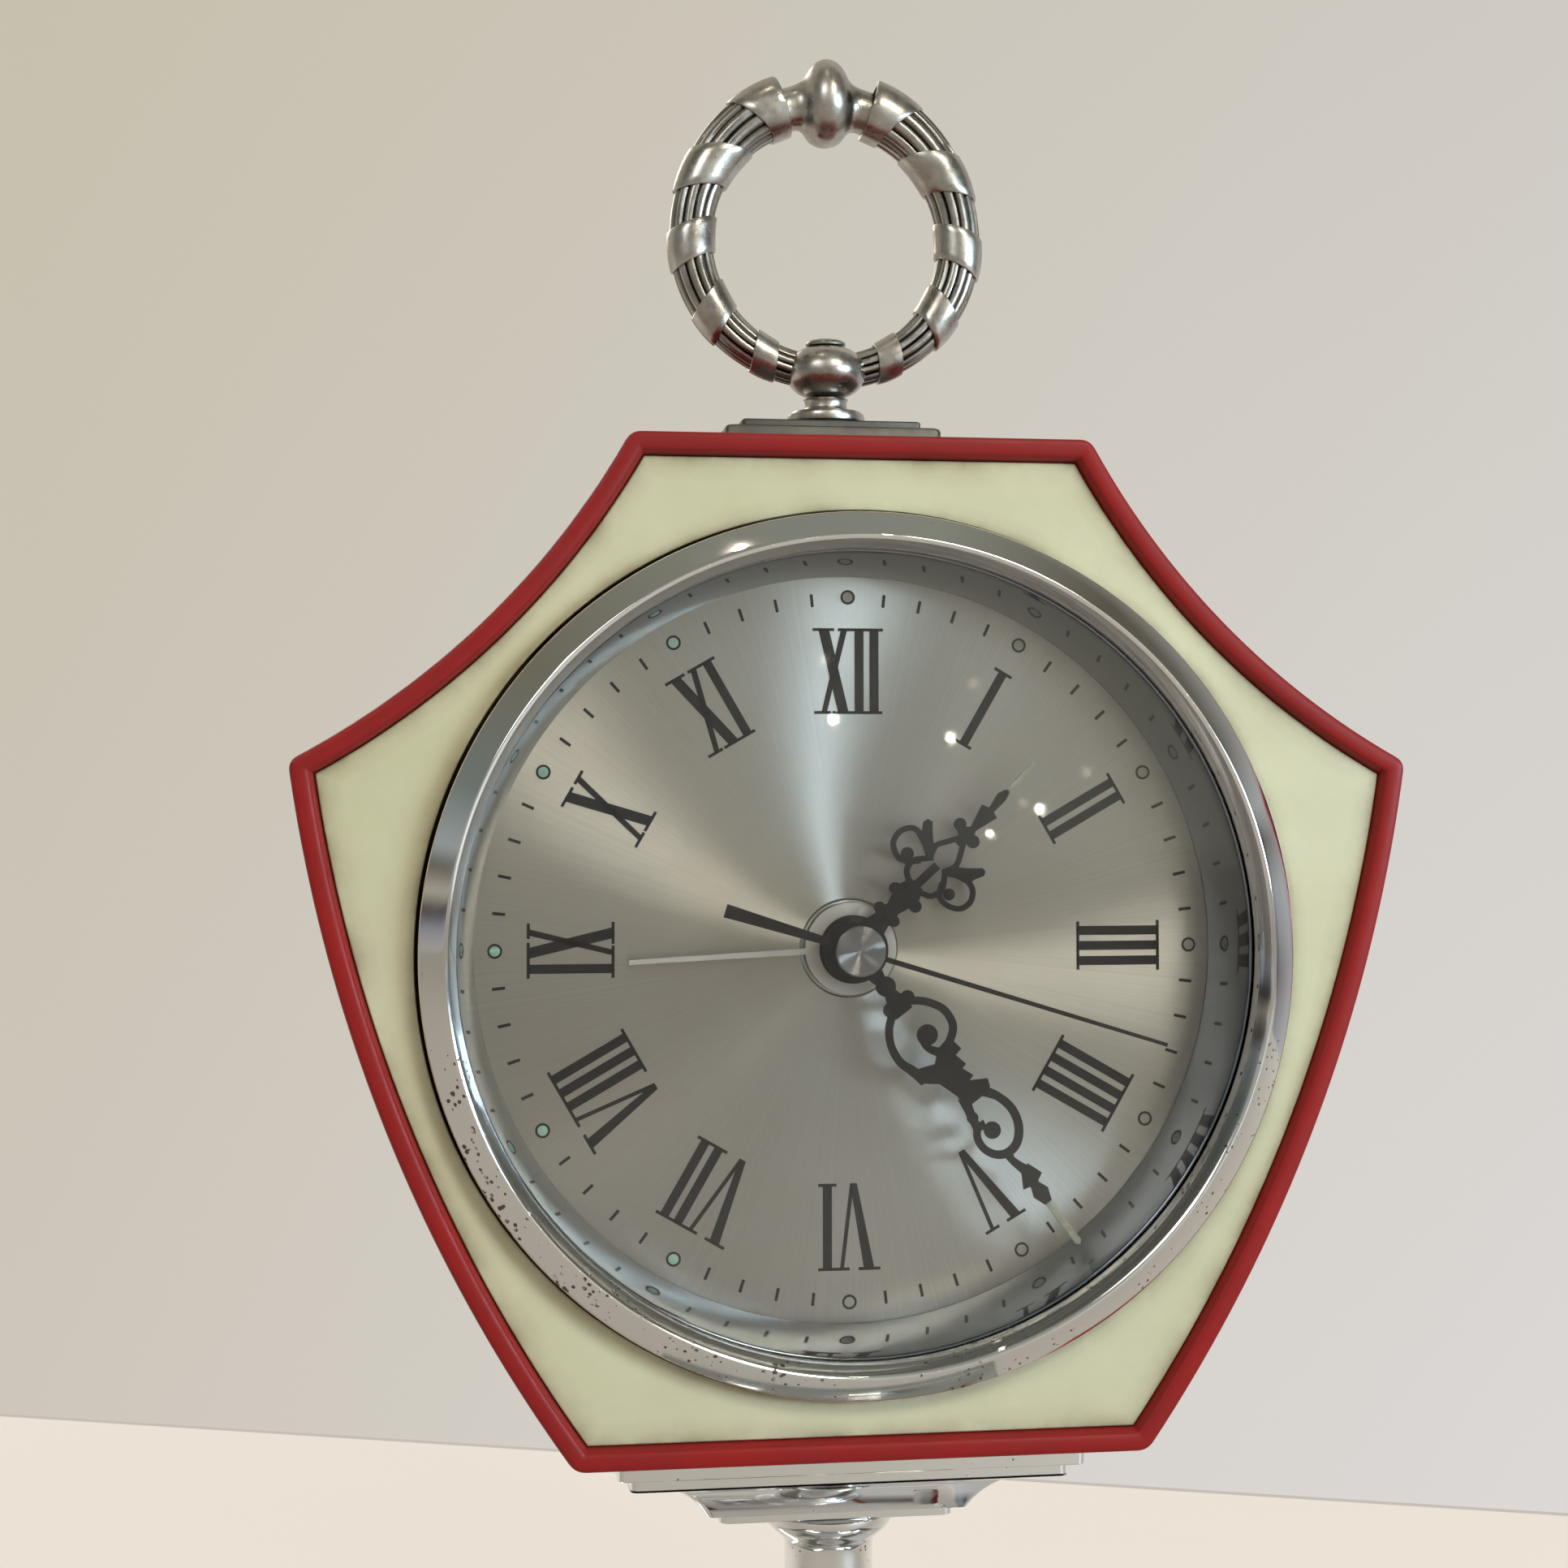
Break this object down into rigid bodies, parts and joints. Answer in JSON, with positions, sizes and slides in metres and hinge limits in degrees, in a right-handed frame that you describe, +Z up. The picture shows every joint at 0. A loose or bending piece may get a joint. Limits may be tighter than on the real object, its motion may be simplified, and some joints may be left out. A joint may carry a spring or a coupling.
{
  "type": "mechanical alarm clock",
  "caption": "Mantel alarm clock with a six-sided case, round bezel, ring handle on top and a column foot, with its wind-up movement inside.",
  "frame": {"origin": "on the surface that the clock stands on, under the axis of its column", "axes": "+Z up, the dial faces -Y, +X to the right seen from the front"},
  "size_m": [0.1192, 0.064, 0.2089],
  "materials": {
    "case_plastic": "red moulded plastic, semi-gloss",
    "panel_enamel": "cream enamel, satin",
    "chrome_plate": "polished, lightly pitted",
    "satin_metal": "satin",
    "lens_acrylic": "clear",
    "dial_metal": "sunburst brushed silver",
    "hand_black": "matt black",
    "hand_pale": "pale silver",
    "aged_silver": "cast, tarnished silver plate",
    "movement_brass": "plain",
    "movement_steel": "plain",
    "cover_plastic": "red moulded plastic, matt",
    "pad_rubber": "matt"
  },
  "bodies": {
    "clock": {"case_frame": "case_plastic", "front_panel": "panel_enamel", "bezel": "chrome_plate", "lens": "lens_acrylic", "reflector_ring": "satin_metal", "dial_plate": "dial_metal", "rear_cover": "cover_plastic", "cover_screw_1": "movement_steel", "cover_screw_2": "movement_steel", "handle_plate": "aged_silver", "handle_pedestal": "aged_silver", "handle_ring": "aged_silver", "handle_screw": "aged_silver", "handle_nut": "movement_steel", "bracket_plates": "chrome_plate", "bracket_cove": "chrome_plate", "bracket_collar": "chrome_plate", "column": "chrome_plate", "base_collar": "chrome_plate", "base_cove": "chrome_plate", "base_plate": "chrome_plate", "tie_rod": "movement_steel", "tie_rod_nut": "movement_steel", "base_pad": "pad_rubber", "front_plate": "movement_brass", "rear_plate": "movement_brass", "plate_pillar_1": "movement_brass", "plate_pillar_2": "movement_brass", "plate_pillar_3": "movement_brass", "mainspring": "movement_steel", "alarm_spring": "movement_steel", "hairspring": "movement_steel", "alarm_bell": "chrome_plate"},
    "minute_group": {"cannon_pinion": "movement_steel", "minute_hand": "hand_black"},
    "hour_group": {"hour_wheel": "movement_brass", "hour_hand": "hand_black"},
    "minute_wheel_group": {"minute_wheel": "movement_brass"},
    "time_setting": {"time_set_knob": "movement_brass"},
    "second_group": {"fourth_wheel": "movement_brass", "second_hand": "hand_black", "hand_cap": "satin_metal"},
    "third_group": {"third_wheel": "movement_brass"},
    "centre_group": {"centre_wheel": "movement_brass"},
    "great_group": {"great_wheel": "movement_brass"},
    "escape_group": {"escape_wheel": "movement_brass"},
    "balance_group": {"balance_wheel": "movement_brass"},
    "pallet_group": {"pallet_lever": "movement_steel"},
    "time_winding": {"going_arbor": "movement_steel", "time_winding_key": "movement_brass"},
    "alarm_winding": {"alarm_arbor": "movement_steel", "alarm_winding_key": "movement_brass"},
    "alarm_great_group": {"alarm_great_wheel": "movement_brass"},
    "alarm_escape_group": {"alarm_escape_wheel": "movement_brass"},
    "hammer_group": {"alarm_hammer": "movement_steel"},
    "alarm_setting": {"alarm_set_knob": "movement_brass"},
    "alarm_hand_group": {"alarm_wheel": "movement_brass", "alarm_hand": "hand_pale"},
    "stop_button": {"alarm_stop_button": "movement_brass"},
    "regulator": {"regulator_lever": "movement_steel"}
  },
  "joints": [
    {"name": "minute_turn", "type": "hinge", "parent": "clock", "child": "minute_group", "pos_m": [0, 0, 0.10665], "axis": [0, 1, 0], "continuous": true},
    {"name": "hour_turn", "type": "hinge", "parent": "clock", "child": "hour_group", "pos_m": [0, 0, 0.10665], "axis": [0, 1, 0], "continuous": true},
    {"name": "minute_wheel_turn", "type": "hinge", "parent": "clock", "child": "minute_wheel_group", "pos_m": [0.00144, 0, 0.09675], "axis": [0, 1, 0], "continuous": true},
    {"name": "time_setting_turn", "type": "hinge", "parent": "clock", "child": "time_setting", "pos_m": [0.00341, 0, 0.08314], "axis": [0, 1, 0], "continuous": true},
    {"name": "second_turn", "type": "hinge", "parent": "clock", "child": "second_group", "pos_m": [0, 0, 0.10665], "axis": [0, 1, 0], "continuous": true},
    {"name": "third_turn", "type": "hinge", "parent": "clock", "child": "third_group", "pos_m": [0.01212, 0, 0.11365], "axis": [0, 1, 0], "continuous": true},
    {"name": "centre_turn", "type": "hinge", "parent": "clock", "child": "centre_group", "pos_m": [0, 0, 0.10665], "axis": [0, 1, 0], "continuous": true},
    {"name": "great_turn", "type": "hinge", "parent": "clock", "child": "great_group", "pos_m": [-0.01904, 0, 0.09204], "axis": [0, 1, 0], "continuous": true},
    {"name": "escape_turn", "type": "hinge", "parent": "clock", "child": "escape_group", "pos_m": [-0.00629, 0, 0.11848], "axis": [0, 1, 0], "continuous": true},
    {"name": "balance_swing", "type": "hinge", "parent": "clock", "child": "balance_group", "pos_m": [0.00644, 0, 0.1297], "axis": [0, 1, 0], "range_deg": [-120, 120], "stiffness_Nm_per_rad": 0.000012},
    {"name": "pallet_rock", "type": "hinge", "parent": "clock", "child": "pallet_group", "pos_m": [-0.00014, 0, 0.1239], "axis": [0, 1, 0], "range_deg": [-5, 5]},
    {"name": "time_winding_turn", "type": "hinge", "parent": "clock", "child": "time_winding", "pos_m": [-0.01904, 0, 0.09204], "axis": [0, 1, 0], "range_deg": [0, 1620]},
    {"name": "alarm_winding_turn", "type": "hinge", "parent": "clock", "child": "alarm_winding", "pos_m": [0.021, 0, 0.09105], "axis": [0, 1, 0], "range_deg": [0, 1440]},
    {"name": "alarm_great_turn", "type": "hinge", "parent": "clock", "child": "alarm_great_group", "pos_m": [0.021, 0, 0.09105], "axis": [0, 1, 0], "continuous": true},
    {"name": "alarm_escape_turn", "type": "hinge", "parent": "clock", "child": "alarm_escape_group", "pos_m": [0.02654, 0, 0.10627], "axis": [0, 1, 0], "continuous": true},
    {"name": "hammer_strike", "type": "hinge", "parent": "clock", "child": "hammer_group", "pos_m": [0.0295, 0, 0.11365], "axis": [0, 1, 0], "range_deg": [-6, 2]},
    {"name": "alarm_setting_turn", "type": "hinge", "parent": "clock", "child": "alarm_setting", "pos_m": [-0.01379, 0, 0.11742], "axis": [0, 1, 0], "continuous": true},
    {"name": "alarm_hand_turn", "type": "hinge", "parent": "clock", "child": "alarm_hand_group", "pos_m": [0, 0, 0.10665], "axis": [0, 1, 0], "continuous": true},
    {"name": "stop_slide", "type": "slide", "parent": "clock", "child": "stop_button", "axis": [0, 1, 0], "range_m": [0, 0.003]},
    {"name": "regulator_swing", "type": "hinge", "parent": "clock", "child": "regulator", "pos_m": [0.00644, 0, 0.1297], "axis": [0, 1, 0], "range_deg": [-18, 18]}
  ],
  "couplings": [
    {"joint": "hour_turn", "follows": "minute_turn", "ratio": 0.083333},
    {"joint": "minute_wheel_turn", "follows": "minute_turn", "ratio": -0.33333},
    {"joint": "time_setting_turn", "follows": "minute_turn", "ratio": 0.4},
    {"joint": "third_turn", "follows": "second_turn", "ratio": -0.13333},
    {"joint": "centre_turn", "follows": "second_turn", "ratio": 0.016667},
    {"joint": "great_turn", "follows": "second_turn", "ratio": -0.0020833},
    {"joint": "escape_turn", "follows": "second_turn", "ratio": -10},
    {"joint": "pallet_rock", "follows": "balance_swing", "ratio": -0.04},
    {"joint": "alarm_escape_turn", "follows": "alarm_great_turn", "ratio": -7.5},
    {"joint": "alarm_hand_turn", "follows": "alarm_setting_turn", "ratio": -0.92308}
  ]
}
